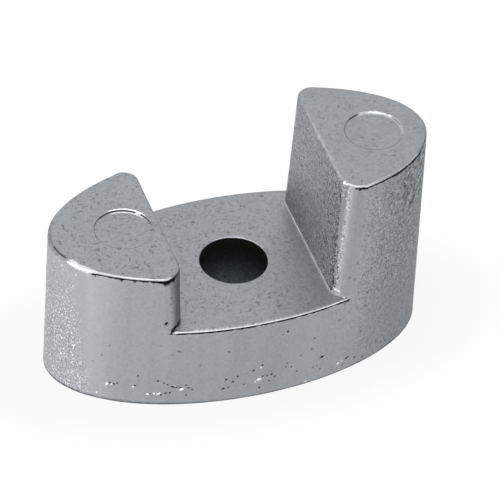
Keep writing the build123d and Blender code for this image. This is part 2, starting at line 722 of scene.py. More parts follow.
    def rim_finish(self, rows: np.ndarray) -> tuple[np.ndarray, np.ndarray]:
        """Burnishing and painted highlight of the rim's rows, strongest over the upper half of the
        round, and their darker parts.

        The high lobe's inner rim gets light rubbing and a faint painted highlight all along its
        front part.
        """
        share = shares(self.steps.round_rows)
        burnish_and_sheen = self.along_rim(self.wear.burnish_and_highlight)
        wear_and_highlight = self.burnish_and_highlight_band.at(share) * burnish_and_sheen * self.burnish_and_highlight_patches.at(rows)
        if self.end is End.HIGH:
            rubbed_sheen = self.rub_and_sheen * self.inner_share() * self.rub_and_sheen_band.at(share)
            wear_and_highlight = np.maximum(wear_and_highlight, rubbed_sheen * self.rub_and_sheen_patches.at(rows))
        wall = ease(np.abs(self.bearings), *self.clean_bearings)
        dirt_and_shade = self.rim_darkening * self.darkened_band.at(share) * (1.0 - burnish_and_sheen) * (1.0 - wall)
        lined = self.along_rim(self.wear.lined) * self.lined_band.at(share)
        return wear_and_highlight, np.maximum(dirt_and_shade, lined)

    def sides(self) -> np.ndarray:
        """Rows of the side between the foot blend and the band under the rim."""
        count = self.steps.high_lobe_rows if self.end is End.HIGH else self.steps.low_lobe_rows
        low = self.sizes.floor_height + self.sizes.foot_blend
        high = self.top - self.rim_radii() - self.band_heights()
        return self.section(low + (high - low) * shares(count))

    def mark_rings(self) -> list[tuple[float, float]]:
        """Radius and share of the depth of each ring on the step of the mark.

        A flat line runs outside the lip and another inside the toe. Between them the step goes
        down by half over the lip's round and by half over the toe's.
        """
        radius, soft, line = self.sizes.mark_radius, self.sizes.mark_round, self.sizes.mark_line
        rings = [(radius + soft + line, 0.0), (radius + soft, 0.0)]
        steps = turns(self.steps.small_round_rows)[1:]
        rings += [(radius + soft * (1.0 - sin), (1.0 - cos) / 2) for cos, sin in steps]
        rings += [(radius - soft * (1.0 - cos), (1.0 + sin) / 2) for cos, sin in steps]
        rings.append((radius - soft - line, 1.0))
        return rings

    def cap(self) -> np.ndarray:
        """Rows of the top: the land, the edge of the mark, its step and its floor.

        The pin went in aslant: the mark's floor lies depth * (1 - tilt + tilt * y / radius)
        down, and never above the top, so that its step is deep at the back and nothing in front.
        """
        sizes = self.sizes
        edge = self.rim()[-1]
        centre = np.array([sizes.mark_place(self.end), 0.0, self.top])
        rays = edge - centre
        rays /= np.linalg.norm(rays, axis=1, keepdims=True)

        def circle(radius: float, share: float) -> np.ndarray:
            """A row on a circle about the mark's centre, at a share of the mark's depth."""
            slant = sizes.mark_tilt * (rays[:, 1] * radius / sizes.mark_radius - 1.0)
            depth = sizes.mark_depth * np.maximum(1.0 + slant, 0.0)
            return centre + rays * radius - np.array([0.0, 0.0, 1.0]) * share * depth[:, None]

        rings = [circle(*ring) for ring in self.mark_rings()]
        outer = sizes.mark_radius + sizes.mark_round + 2.0 * sizes.mark_line
        inner = sizes.mark_radius - sizes.mark_round - 2.0 * sizes.mark_line
        land = between(edge, circle(outer, 0.0), self.steps.land_rows)
        floor = between(circle(inner, 1.0), circle(0.0, 1.0), self.steps.disc_rows)
        return np.concatenate((land, np.array(rings), floor))

    def cap_finish(self, rows: np.ndarray) -> tuple[np.ndarray, np.ndarray]:
        """Painted highlight with burnishing, and painted shade, of the top's rows: both sit on the
        step of the mark.

        On the low lobe the far arc has a bright line outside and inside of a dark one. On the
        high lobe it is bright all over, with a fainter light towards the tip. A little dark
        line goes on at both ends, and the near arc is faintly dark.
        """
        inward = np.array([self.sizes.mark_place(self.end), 0.0]) - rows[0, :, :2]
        inward *= np.array([self.end.value, 1.0])
        inward /= np.linalg.norm(inward, axis=1, keepdims=True)
        low = self.end is End.LOW
        burnish_and_sheen = facing_lit_side(inward)
        far = ease(facing(inward, LIT_SIDE), 0.3, 0.5)
        near = self.mark_near_dark * ease(facing(inward, LIT_SIDE + 180.0), -0.1, 0.4)
        line = near + far * (1.0 if low else 1.0 - burnish_and_sheen)
        tip = 0.0 if low else self.tip_light * ease(facing(inward, self.tip_side), 0.8, 0.96)
        rings = slice(self.steps.land_rows + 1, self.steps.land_rows + 1 + len(self.mark_dark))
        wear_and_highlight, dirt_and_shade = np.zeros((2, *rows.shape[:2]))
        wear_and_highlight[rings] = np.array(self.mark_bright[self.end])[:, None] * np.maximum(burnish_and_sheen, tip)
        dirt_and_shade[rings] = np.array(self.mark_dark)[:, None] * line
        return wear_and_highlight * self.mark_patches[self.end].at(rows), dirt_and_shade

    def turned(self, grid: np.ndarray) -> np.ndarray:
        """Puts a grid on the lobe's own end: the low end is the mirror image in X."""
        return grid * np.array([self.end.value, 1.0, 1.0])

    def build(self, skin: Skin) -> None:
        """Adds the lobe's grids to the skin."""
        foot, rim, cap = self.foot(), self.rim(), self.cap()
        bead = self.bead_band.at(shares(self.steps.round_rows)) * self.bead_share()
        skin.add(self.turned(foot), wear_and_highlight=self.bead_shine * bead * self.bead_patches.at(foot))
        skin.add(self.turned(self.sides()))
        skin.add(self.turned(self.band()), dirt_and_shade=self.band_shade())
        for grid, (wear_and_highlight, dirt_and_shade) in ((rim, self.rim_finish(rim)), (cap, self.cap_finish(cap))):
            skin.add(self.turned(grid), wear_and_highlight=wear_and_highlight, dirt_and_shade=dirt_and_shade)


class Slab:
    """The elliptical base under the lobes: outer wall, recess floor, bolt hole and base."""

    pitted_height = 3.5  # mm, the wall's lower part, which gets finer rows for its pits
    notches = (Noise(0.3, 0.5, 7), Noise(1.4, 0.3, 8))  # of the groove under the floor's edge
    shallowest, deepest = 0.1, 2.0  # times the groove's depth
    teeth = Noise(0.26, 0.32, 43)  # of the painted shade that hangs down in it
    back_shade = 0.3  # share of that shade on the back edge
    base_shade = (0.95, 0.95, 0.9, 0.65, 0.0)  # painted shade, row by row from the base's edge up
    low_end_shade = (0.0, 0.0, 0.05, 0.3, 0.5)  # what the front of the low end has besides
    low_end_side = -150.0  # degrees, bearing of that front
    base_patches = Patches(1.6, 0.2)
    low_end_patches = Patches(0.4, 0.3)
    edge_band = Hump(0.6, 0.25, 0.5)  # burnishing and painted highlight over the height of the floor edge's round
    edge_patches = Patches(0.3, 0.1)
    mouth_band = Hump(0.32, 0.12, 0.4)  # burnishing and painted highlight over the height of the hole's mouth
    mouth_patches = Patches(0.25, 0.15)

    def __init__(self, plan: Plan) -> None:
        """Works out the columns of the outer wall from the plan."""
        self.plan = plan
        self.sizes = plan.sizes
        self.steps = plan.steps
        self.angles = self.column_angles()
        self.radii = self.edge_radii()

    def column_angles(self) -> np.ndarray:
        """Ellipse angles of all wall columns, anticlockwise from the high front corner.

        The order is: high lobe, wedge, back edge, wedge, low lobe, wedge, front edge, wedge.
        """
        plan, steps = self.plan, self.steps
        wedge = plan.wedge_angles
        half = plan.sizes.half_axes(plan.sizes.floor_height)
        back = even_angles(*half, wedge[-1], np.pi - wedge[-1], steps.edge_back)
        front = even_angles(*half, np.pi + wedge[-1], 2 * np.pi - wedge[-1], steps.edge_front)
        parts = (plan.arc_angles, wedge[1:], back[1:], np.pi - wedge[-2::-1],
                 np.pi - plan.arc_angles[-2::-1], np.pi + wedge[1:], front[1:],
                 2 * np.pi - wedge[-2:0:-1])
        return np.concatenate(parts)

    def edge_radii(self) -> np.ndarray:
        """Radius of the rolled edge under each wall column: none below the lobes."""
        steps = self.steps
        full = self.sizes.floor_edge_round
        wedge = self.plan.soft_radius(full)
        lobe = np.zeros(steps.arc + 1)
        parts = (lobe, wedge[1:], np.full(steps.edge_back, full), wedge[-2::-1],
                 lobe[1:], wedge[1:], np.full(steps.edge_front, full), wedge[-2:0:-1])
        return np.concatenate(parts)

    def wall_row(self, height: float, inset: np.ndarray | float) -> np.ndarray:
        """One row of the outer wall, moved inwards by an inset."""
        ring = self.plan.ellipse(height, self.angles)
        return raise_ring(ring.points - ring.normals * np.asarray(inset)[..., None], height)

    def edge_groove(self) -> np.ndarray:
        """Depth of the ragged groove under the floor's edge, one per column."""
        share = self.radii / self.sizes.floor_edge_round
        edge = raise_ring(self.plan.ellipse(self.sizes.floor_height, self.angles).points,
                          self.sizes.floor_height)
        ragged = np.clip(1.0 + sum(noise.at(edge) for noise in self.notches),
                         self.shallowest, self.deepest)
        return self.sizes.floor_edge_groove * share * ragged

    def wall(self) -> np.ndarray:
        """Rows of the outer wall, from the base's round up to the rolled floor edge.

        Under the edge a band holds the groove, and the edge's quarter round stands out over
        it as a lip.
        """
        sizes, steps = self.sizes, self.steps
        rows = [(sizes.base_round * (1.0 - cos), sizes.base_round * (1.0 - sin))
                for cos, sin in turns(steps.small_round_rows)]
        top = sizes.floor_height - sizes.floor_edge_round
        band = top - sizes.rim_band
        low_rows = np.linspace(sizes.base_round, self.pitted_height, steps.slab_low_rows + 1)
        high_rows = np.linspace(self.pitted_height, band, steps.slab_high_rows + 1)
        rows += [(height, 0.0) for height in (*low_rows[1:], *high_rows[1:])]
        groove = self.edge_groove()
        lip = np.minimum(groove, sizes.lip)
        rows += [(band + sizes.rim_band * share, groove_inset(share, groove, lip))
                 for share in shares(steps.band_rows, 1).ravel()]
        rows += [(top + sizes.floor_edge_round * sin, self.radii * (1.0 - cos) - lip * cos)
                 for cos, sin in turns(steps.round_rows)[1:]]
        return np.array([self.wall_row(height, inset) for height, inset in rows])

    def wall_finish(self, wall: np.ndarray) -> tuple[np.ndarray, np.ndarray]:
        """Burnishing with painted highlight, and painted shade, of the wall's rows.

        The rolled floor edge gets burnishing and a painted highlight; the groove under it and the
        base's edge get painted shade.
        The shade on the base's edge reaches higher at the low end's front.
        """
        steps, sizes = self.steps, self.sizes
        wear_and_highlight, dirt_and_shade = np.zeros((2, *wall.shape[:2]))
        ring = self.plan.ellipse(sizes.floor_height, self.angles)
        edge = self.radii / sizes.floor_edge_round
        front = ease(facing(ring.normals, -90.0), 0.0, 0.5)
        low_end = ease(facing(ring.normals, self.low_end_side), 0.4, 0.9)
        base = slice(len(self.base_shade))
        for shade_share, cover in ((self.base_shade, self.base_patches.at(wall[base])),
                            (self.low_end_shade, low_end * self.low_end_patches.at(wall[base]))):
            dirt_and_shade[base] += np.array(shade_share)[:, None] * cover
        band = slice(-steps.band_rows - steps.round_rows, -steps.round_rows)
        reach = 1.0 + self.teeth.at(raise_ring(ring.points, 0.0))
        hung = hanging(shares(steps.band_rows, 1), reach)
        dirt_and_shade[band] = hung * edge * (self.back_shade + (1.0 - self.back_shade) * front)
        top = slice(-steps.round_rows, None)
        wear_and_highlight[top] = self.edge_band.at(shares(steps.round_rows, 1)) * front * edge
        wear_and_highlight[top] *= self.edge_patches.at(wall[top])
        return wear_and_highlight, dirt_and_shade

    def wedges(self, lobe_row: np.ndarray, wall_row: np.ndarray) -> list[np.ndarray]:
        """Small stretches of floor between the corner rounds and the outer wall.

        Args:
            lobe_row: first row of the high lobe's foot, as it lies on the floor.
            wall_row: last row of the outer wall.

        Returns:
            Four grids: the high end's and the low end's at the back, and the same two at the
            front. Row k goes straight from the round to the wall along ray k.
        """
        steps = self.steps
        columns = slice(steps.arc, steps.arc + steps.wedge + 1)
        share = shares(steps.wedge_rows)[None]
        grids = []
        for inner, outer in ((lobe_row[columns], wall_row[columns]),
                             (self.backwards(lobe_row), self.backwards(wall_row))):
            grid = inner[:, None] * (1.0 - share) + outer[:, None] * share
            grids += [grid, grid * MIRROR_X]
        return grids

    def backwards(self, row: np.ndarray) -> np.ndarray:
        """The front wedge's columns of a row: clockwise from the row's first point."""
        return np.roll(row, -1, axis=0)[::-1][:self.steps.wedge + 1]

    def floor_loop(self, lobe_row: np.ndarray, wall_row: np.ndarray,
                   wedges: list[np.ndarray]) -> np.ndarray:
        """The loop round the part of the floor that the bolt hole's axis looks straight at.

        Args:
            lobe_row: first row of the high lobe's foot.
            wall_row: last row of the outer wall.
            wedges: the four grids of the wedges.

        Returns:
            (N, 3) loop, anticlockwise from the front edge's left end.
        """
        steps = self.steps
        back_start = steps.arc + steps.wedge
        front_start = back_start + steps.edge_back + steps.wedge + steps.arc + steps.wedge
        back = wall_row[back_start:back_start + steps.edge_back + 1]
        front = wall_row[front_start:front_start + steps.edge_front + 1]
        high_back, low_back, high_front, low_front = (grid[-1] for grid in wedges)
        wall = lobe_row[back_start:len(lobe_row) - steps.wedge + 1]
        parts = (front[:-1], high_front[:0:-1], wall[::-1][:-1], high_back[:-1],
                 back[:-1], low_back[:0:-1], (wall * MIRROR_X)[:-1], low_front[:-1])
        return np.concatenate(parts)

    def bore(self, loop: np.ndarray) -> np.ndarray:
        """Rows of the bolt hole, one column for each point of the floor's loop.

        The mouth and the lower edge are quarter rounds, with the straight bore between them.

        Args:
            loop: loop of the floor, whose directions the columns take.
        """
        sizes = self.sizes
        direction = loop[:, :2] / np.linalg.norm(loop[:, :2], axis=1, keepdims=True)
        mouth, lower = sizes.mouth_round, sizes.base_round
        profile = [(sizes.bore_radius + mouth * (1.0 - sin),
                    sizes.floor_height - mouth * (1.0 - cos))
                   for cos, sin in turns(self.steps.round_rows)]
        straight = np.linspace(sizes.floor_height - mouth, lower, self.steps.bore_rows + 1)
        profile += [(sizes.bore_radius, height) for height in straight[1:]]
        profile += [(sizes.bore_radius + lower * (1.0 - cos), lower * (1.0 - sin))
                    for cos, sin in turns(self.steps.small_round_rows)[1:]]
        return np.array([raise_ring(direction * radius, height) for radius, height in profile])

    def mouth_burnish_and_highlight(self, bore: np.ndarray) -> np.ndarray:
        """How much burnishing and painted highlight the bore's rows get: only its mouth, on the
        far side.
        """
        inward = -bore[0, :, :2] / np.linalg.norm(bore[0, :, :2], axis=1, keepdims=True)
        wear_and_highlight = np.zeros(bore.shape[:2])
        rows = self.steps.round_rows + 1
        wear_and_highlight[:rows] = self.mouth_band.at(shares(rows - 1)) * facing_lit_side(inward, 0.5, 0.8)
        wear_and_highlight[:rows] *= self.mouth_patches.at(bore[:rows])
        return wear_and_highlight

    def base(self, wall: np.ndarray, bore: np.ndarray) -> np.ndarray:
        """Rows of the base face, from the outer wall to the bolt hole.

        The hole has fewer columns, so some neighbours on the outer loop share one of its points.
        """
        outer, inner = wall[0], bore[-1]
        outer_angle = np.unwrap(np.arctan2(outer[:, 1], outer[:, 0]))
        inner_angle = np.unwrap(np.arctan2(inner[:, 1], inner[:, 0]))
        inner_angle += 2 * np.pi * np.round((outer_angle[0] - inner_angle[0]) / (2 * np.pi))
        count = len(inner)
        start = int(np.argmin(np.abs(inner_angle - outer_angle[0])))
        share = np.floor(np.arange(len(outer)) * count / len(outer)).astype(int)
        target = inner[(start + share) % count]
        return between(outer, target, self.steps.base_rows)

    def build(self, skin: Skin, lobe_row: np.ndarray) -> None:
        """Adds the slab's grids to the skin.

        Args:
            skin: skin that takes the grids.
            lobe_row: first row of the high lobe's foot.
        """
        wall = self.wall()
        wedges = self.wedges(lobe_row, wall[-1])
        loop = self.floor_loop(lobe_row, wall[-1], wedges)
        bore = self.bore(loop)
        wear_and_highlight, dirt_and_shade = self.wall_finish(wall)
        skin.add(wall, wear_and_highlight=wear_and_highlight, dirt_and_shade=dirt_and_shade)
        for grid in wedges:
            skin.add(grid, closed=False)
        skin.add(between(loop, bore[0], self.steps.floor_rows))
        skin.add(bore, wear_and_highlight=self.mouth_burnish_and_highlight(bore))
        skin.add(self.base(wall, bore))


@dataclass(frozen=True)
class PhotoCamera:
    """Camera at the photograph's viewing angle, found from the object's outline."""

    azimuth: float = -21.019  # degrees, 0 looks along +Y
    elevation: float = 41.859
    roll: float = 3.583
    distance: float = 485.5  # mm, from the middle of the recess floor
    focal: float = 4737.05  # pixels
    shift: tuple[float, float] = (-16.36, 9.99)  # pixels, of the floor's middle
    frame_pixels: float = 500.0
    sensor: float = 36.0  # mm
    seen_from_to: tuple[float, float] = (0.01, 20.0)  # metres

    def axes(self) -> tuple[Vector, Vector, Vector]:
        """Directions of the picture's right, its up, and back towards the camera."""
        azimuth, elevation, roll = (math.radians(angle) for angle in
                                    (self.azimuth, self.elevation, self.roll))
        back = Vector((math.sin(azimuth) * math.cos(elevation),
                       -math.cos(azimuth) * math.cos(elevation), math.sin(elevation)))
        level = Vector((math.cos(azimuth), math.sin(azimuth), 0.0))
        upright = back.cross(level)
        right = math.cos(roll) * level + math.sin(roll) * upright
        up = math.cos(roll) * upright - math.sin(roll) * level
        return right, up, back

    def place(self, floor_height: float) -> Vector:
        """Place of the camera in millimetres."""
        right, up, back = self.axes()
        across, down = (offset * self.distance / self.focal for offset in self.shift)
        aim = Vector((0.0, 0.0, floor_height))
        return aim + back * self.distance - right * across + up * down

    def ray(self, pixel: tuple[float, float]) -> Vector:
        """Direction in which the camera sees a pixel of the photograph."""
        right, up, back = self.axes()
        across, down = (value - self.frame_pixels / 2 for value in pixel)
        return (right * across - up * down - back * self.focal).normalized()

    def build(self, floor_height: float) -> None:
        """Makes the camera and gives it to the scene."""
        data = bpy.data.cameras.new("photo_camera")
        data.sensor_width = self.sensor
        data.lens = self.focal * self.sensor / self.frame_pixels
        data.clip_start, data.clip_end = self.seen_from_to
        camera = bpy.data.objects.new("photo_camera", data)
        turn = Matrix([list(axis) for axis in self.axes()]).transposed().to_4x4()
        camera.matrix_world = Matrix.Translation(self.place(floor_height) * MM) @ turn
        bpy.context.scene.collection.objects.link(camera)
        bpy.context.scene.camera = camera


@dataclass(frozen=True)
class Blemish:
    """A small mark on the skin, seen at a pixel of the photograph."""

    pixel: tuple[float, float]
    width: float = 0.3  # mm
    depth: float = 0.1  # mm, negative where it stands out
    tone: float = -1.0  # from -1, dark, to 1, bright: bright is bare metal with a painted highlight, dark is painted shade in pits and hollows or a speck or stain
    length: float = 1.0  # times the width
    turn: float = 0.0  # degrees, of the long way from the picture's horizontal


def pits(*pixels: tuple[float, float], width: float = 0.3, depth: float = 0.1,
         tone: float = -1.0) -> list[Blemish]:
    """Several round marks of one kind."""
    return [Blemish(pixel, width, depth, tone) for pixel in pixels]


BLEMISHES = [
    # pores along the lower front, with painted shade in them
    *pits((110, 383), (113.8, 384), (135, 386), (158, 381.5), (180.6, 388.2), (186, 385.4),
          (161, 395), (165.5, 393.4), (170, 393), (233, 382), (238, 377), (262.7, 365.6),
          (267, 376), (271.5, 374.5), (275, 376.4), (259.5, 387.5)),
    *pits((117.5, 383.4), (138, 376), (150, 394), (164, 383.4), (167.6, 385), (188.5, 388),
          (192.2, 389.6), (186, 395), (228, 388), (244, 384.5), (286, 367.4), (291.4, 367),
          (287.4, 363), (297, 371), (263, 376.4), (269, 381), width=0.24, depth=0.07),
    # bright grains that stand out beside them, with painted highlights
    Blemish((106.8, 384), 0.3, -0.05, 1.0, 1.8, 65.0),
    Blemish((147.5, 394.3), 0.26, -0.05, 1.0, 2.0, 20.0),
    Blemish((158.5, 394), 0.26, -0.05, 1.0, 2.2, 28.0),
    Blemish((181.5, 389.6), 0.3, -0.05, 1.0, 2.3, 35.0),
    *pits((111.6, 384.4), (133, 387), (154, 393.7), (175, 386.5), (261, 367.7), (255, 382),
          (305.5, 381), (96.5, 392.5), width=0.26, depth=-0.05, tone=1.0),
    Blemish((259, 379.5), 0.42, -0.08, 1.0, 1.5, 10.0),
    Blemish((223, 389), 0.26, 0.08, -1.0, 1.8, 15.0),
    Blemish((226.5, 380), 0.34, 0.09),
    Blemish((253.6, 371), 0.26, 0.1, -1.0, 1.5, 60.0),
    Blemish((288, 332), 0.3, 0.09),
    Blemish((283, 335), 0.2, 0.05, -0.6),
    Blemish((322, 357), 0.42, 0.08, -1.0, 1.3, 20.0),
    *pits((313, 367.5), (317, 366), (320, 369), (332, 369), (307, 383), (301, 356),
          width=0.28, depth=0.04, tone=-0.5),
    Blemish((338, 363.4), 0.36, -0.06, 1.0, 1.4, 70.0),
    Blemish((341.6, 361), 0.24, -0.05, 1.0, 1.3, 30.0),
    Blemish((347, 357.6), 0.26, 0.06, -0.9, 2.8, 14.0),
    Blemish((355, 357), 0.26, 0.05, -0.8, 1.8, 20.0),
    Blemish((342.5, 364.4), 0.26, 0.05, -0.6, 1.8, 20.0),
    Blemish((363, 356), 0.32, 0.06, -0.8, 1.5, 30.0),
    Blemish((174, 387), 0.3, 0.06, -1.0, 3.0, -12.0),
    # specks and a stain on the right wall
    *pits((360.5, 328), (361.4, 331), (376, 341.8), (381, 341.6), (385, 340), (396, 332),
          (392, 334.5), (366, 305.4), (380, 308), (387, 315.4), (379.6, 290), (368, 292),
          (385.6, 278), (354.8, 279.7), (358, 263.4), (386.7, 261.8), (350, 278), (363.8, 226.3),
          (369.5, 235.7), (381, 229.7), (383.6, 239), (340, 320),
          width=0.34, depth=0.03, tone=-0.42),
    Blemish((412.6, 200), 0.8, 0.02, -0.48, 3.0, 82.0),
    # specks on the left wall and the slab
    *pits((71, 348.2), (229, 352), (315, 338), (312, 349), width=0.26, depth=0.03, tone=-0.7),
    *pits((109.8, 345.8), (160.6, 346), (92.3, 361.5), (200, 366), (102, 355), (172.5, 355.5),
          (138, 376.5), width=0.32, depth=0.02, tone=-0.35),
    Blemish((179.6, 351.6), 0.3, 0.04, -0.6, 1.6, -25.0),
    Blemish((166.5, 324), 0.42, 0.09, -1.0, 1.3, 60.0),
    # painted shade at the foot of the low lobe's corner
    Blemish((179, 323), 0.5, 0.02, -1.0, 2.2, 52.0),
    Blemish((175.5, 327.6), 0.54, 0.02, -1.0, 2.0, 48.0),
    Blemish((172.5, 331.5), 0.36, 0.02, -1.0, 1.8, 40.0),
    *pits((172, 298.3), (171, 304.5), (172.5, 312), width=0.26, depth=0.02, tone=-0.5),
    # painted shade at the tips of the floor's front edge, and painted highlights on the burrs
    # beside them
    Blemish((171.5, 334.2), 0.24, 0.05, -1.0, 2.6, 8.0),
    Blemish((348.5, 300.5), 0.3, 0.12, -1.0, 2.4, 15.0),
    Blemish((176.5, 331.8), 0.25, -0.05, 1.0, 2.0, 10.0),
    Blemish((334.2, 289.4), 0.55, -0.06, 1.0, 1.6, -45.0),
    Blemish((337.6, 291.6), 0.5, -0.05, 1.0, 1.7, -20.0),
    Blemish((344, 297.4), 0.22, -0.05, 1.0, 1.6, 10.0),
    # painted highlights on polished spots: the low lobe's front rim, the high lobe's corner and
    # the low mark
    Blemish((75.5, 265.6), 0.68, 0.0, 1.0, 3.2, -28.0),
    Blemish((84, 269.5), 0.8, 0.0, 0.7, 2.4, -18.0),
    *pits((344, 182.6), (347, 184.6), width=0.34, depth=-0.02, tone=1.0),
    Blemish((139, 212.7), 0.34, 0.0, 1.0, 2.6, -25.0),
    *pits((345, 190), (348.5, 192.5), (343, 195), (346.5, 199), (342, 188), (350, 189),
          (56, 257), (59, 261), (62, 265), (75.9, 275.3), (54, 310), (65.4, 311.4),
          (59.6, 344.2), (73, 286), (57, 282), (66, 291), width=0.22, depth=-0.03, tone=0.8),
    # specks and nicks in the tops and the floor
    *pits((120.7, 248.5), (362, 137), (373, 139), (394, 155), (152, 252), (145, 262),
          (99, 260), (84, 262), (196, 256), (206, 236), (262, 196), (352, 178), (362, 181),
          width=0.34, depth=0.02, tone=-0.45),
]


class Skinwork:
    """What the mould and the handling left on the welded skin, with the painted highlights and
    shade of its blemishes.
    """

    faint = 0.55  # strongest tone of a blemish that does without the finest mesh
    reach, fine_reach = 0.5, 0.3  # mm round a blemish that get a finer and the finest mesh
    waves = (Noise(4.0, 0.014, 1), Noise(1.5, 0.006, 2))
    grain = Noise(0.6, 0.002, 3)
    end_grain = 2.0  # how much stronger still the grain is on what faces along X
    sunk = 0.02  # mm, which keeps the waves inside the casting's box
    flat_foot = 0.4  # mm above the base, up to which the waves fade in
    ragged = Noise(0.12, 0.35, 5)
    taking = 0.6  # mm under and over the skin that a blemish takes in besides its half width
    soft_edge = 0.8  # share of a blemish's oval over which its tone fades out

    def __init__(self, piece: bpy.types.Object, camera: PhotoCamera, sizes: Sizes) -> None:
        """Takes the welded piece, the camera that places the blemishes and the sizes."""
        self.mesh = piece.data
        self.camera = camera
        self.sizes = sizes
        self.bright = np.zeros(0)
        self.dark = np.zeros(0)

    def read(self, name: str) -> np.ndarray:
        """One vector of each vertex: co is its place in metres and normal its normal."""
        flat = np.empty(len(self.mesh.vertices) * 3)
        self.mesh.vertices.foreach_get(name, flat)
        return flat.reshape(-1, 3)

    def places(self) -> np.ndarray:
        """Places of the vertices, in millimetres."""
        return self.read("co") / MM

    def move(self, places: np.ndarray) -> None:
        """Writes the vertices' places back, given in millimetres."""
        self.mesh.vertices.foreach_set("co", (places * MM).ravel())
        self.mesh.update()

    def found(self, blemishes: list[Blemish]) -> list[tuple[Blemish, np.ndarray, np.ndarray]]:
        """Where the camera's rays through the blemishes' pixels meet the skin.

        Returns:
            Each blemish with its place in millimetres and the surface's normal there.
        """
        work = bmesh.new()
        work.from_mesh(self.mesh)
        tree = BVHTree.FromBMesh(work)
        work.free()
        start = self.camera.place(self.sizes.floor_height) * MM
        hits = []
        for blemish in blemishes:
            place, normal, _, _ = tree.ray_cast(start, self.camera.ray(blemish.pixel))
            if place is not None:
                hits.append((blemish, np.array(place) / MM, np.array(normal)))
        return hits

    def refine(self, centres: list[np.ndarray], reach: float) -> None:
        """Halves the edges within a reach of some places, so that small marks come out sharp.

        Args:
            centres: places in millimetres.
            reach: distance in millimetres.
        """
        places = self.places()
        near = np.zeros(len(places), dtype=bool)
        for centre in centres:
            near |= ((places - centre) ** 2).sum(1) < reach**2
        work = bmesh.new()
        work.from_mesh(self.mesh)
        edges = [edge for edge in work.edges
                 if near[edge.verts[0].index] and near[edge.verts[1].index]]
        bmesh.ops.subdivide_edges(work, edges=edges, cuts=1, use_grid_fill=True)
        bmesh.ops.triangulate(work, faces=[face for face in work.faces if len(face.verts) > 4])
        work.to_mesh(self.mesh)
        work.free()

    def waviness(self) -> None:
        """Moves the skin along its normals by smooth noise of three sizes.

        The waves run everywhere. The grain is stronger on the ends and the recess walls,
        which face along X, than on the front.
        """
        places, normals = self.places(), self.read("normal")
        ends = ease(np.abs(normals[:, 0]), 0.35, 0.85)
        shift = sum(noise.at(places) for noise in self.waves) - self.sunk
        shift += self.grain.at(places) * (1.0 + self.end_grain * ends)
        shift *= ease(places[:, 2], 0.0, self.flat_foot)
        self.move(places + normals * shift[:, None])

    def press(self, hits: list[tuple[Blemish, np.ndarray, np.ndarray]]) -> None:
        """Presses the pits in, raises the burrs and notes where they are painted bright or dark.

        Within an oval about the blemish's place the skin moves along the normal there by
        depth * (1 - q)**2, where q is the square of the distance as a share of the oval. The
        skin never leaves the casting's box.
        """
        right, up, _ = (np.array(axis) for axis in self.camera.axes())
        places = self.places()
        self.bright = np.zeros(len(places))
        self.dark = np.zeros(len(places))
        ragged = 1.0 + self.ragged.at(places)
        for blemish, centre, normal in hits:
            turn = math.radians(blemish.turn)
            along = math.cos(turn) * right + math.sin(turn) * up
            along -= normal * (along @ normal)
            along /= np.linalg.norm(along)
            across = np.cross(normal, along)
            away = (places - centre) * ragged[:, None]
            half = blemish.width / 2
            oval = ((away @ along) / (half * blemish.length))**2 + ((away @ across) / half)**2
            oval += ((away @ normal) / (self.taking + half))**2
            sink = blemish.depth * (1.0 - np.clip(oval, 0.0, 1.0))**2
            places = places - normal * sink[:, None]
            layer = self.bright if blemish.tone > 0.0 else self.dark
            tone = abs(blemish.tone) * ease(1.0 - oval, 0.0, self.soft_edge)
            np.maximum(layer, tone, out=layer)
        box = np.array([self.sizes.length / 2, self.sizes.width / 2, self.sizes.height])
        self.move(np.clip(places, -box, box))

    def tint(self) -> None:
        """Adds the blemishes' painted highlights, and their painted shade and stains, to the masks
        that the grids brought.
        """
        for name, added, covering in (("wear_and_highlight", self.bright, self.dark),
                                      ("dirt_and_shade", self.dark, self.bright)):
            data = self.mesh.attributes[name].data
            values = np.empty(len(data), dtype=np.float32)
            data.foreach_get("value", values)
            values = np.maximum(values * (1.0 - covering), added)
            data.foreach_set("value", values.astype(np.float32))

    def build(self) -> None:
        """Does all the work on the skin, in the order in which it happened."""
        hits = self.found(BLEMISHES)
        self.refine([place for _, place, _ in hits], self.reach)
        sharp = [place for blemish, place, _ in hits if abs(blemish.tone) > self.faint]
        self.refine(sharp, self.fine_reach)
        self.waviness()
        self.press(hits)
        self.tint()


class Signal:
    """A node's output socket in an expression: its operators add Math nodes."""

    def __init__(self, graph: "Graph", socket: bpy.types.NodeSocket) -> None:
        """Keeps the socket and the graph that it belongs to."""
        self.graph = graph
        self.socket = socket

    def math(self, operation: str, first: "Signal | float", second: "Signal | float") -> "Signal":
        """Adds one Math node and returns its result."""
        made = self.graph.node("ShaderNodeMath", {"operation": operation}, {0: first, 1: second})
        return Signal(self.graph, made.outputs[0])

    def __add__(self, other: "Signal | float") -> "Signal":
        """Sum."""
        return self.math("ADD", self, other)

    def __sub__(self, other: "Signal | float") -> "Signal":
        """Difference."""
        return self.math("SUBTRACT", self, other)

    def __rsub__(self, other: float) -> "Signal":
        """Difference from a number."""
        return self.math("SUBTRACT", other, self)

    def __mul__(self, other: "Signal | float") -> "Signal":
        """Product."""
        return self.math("MULTIPLY", self, other)

    __radd__, __rmul__ = __add__, __mul__  # the same with a number in front

    def power(self, exponent: float) -> "Signal":
        """Power of a value."""
        return self.math("POWER", self, exponent)

    def most(self, other: "Signal | float") -> "Signal":
        """The larger of two values."""
        return self.math("MAXIMUM", self, other)


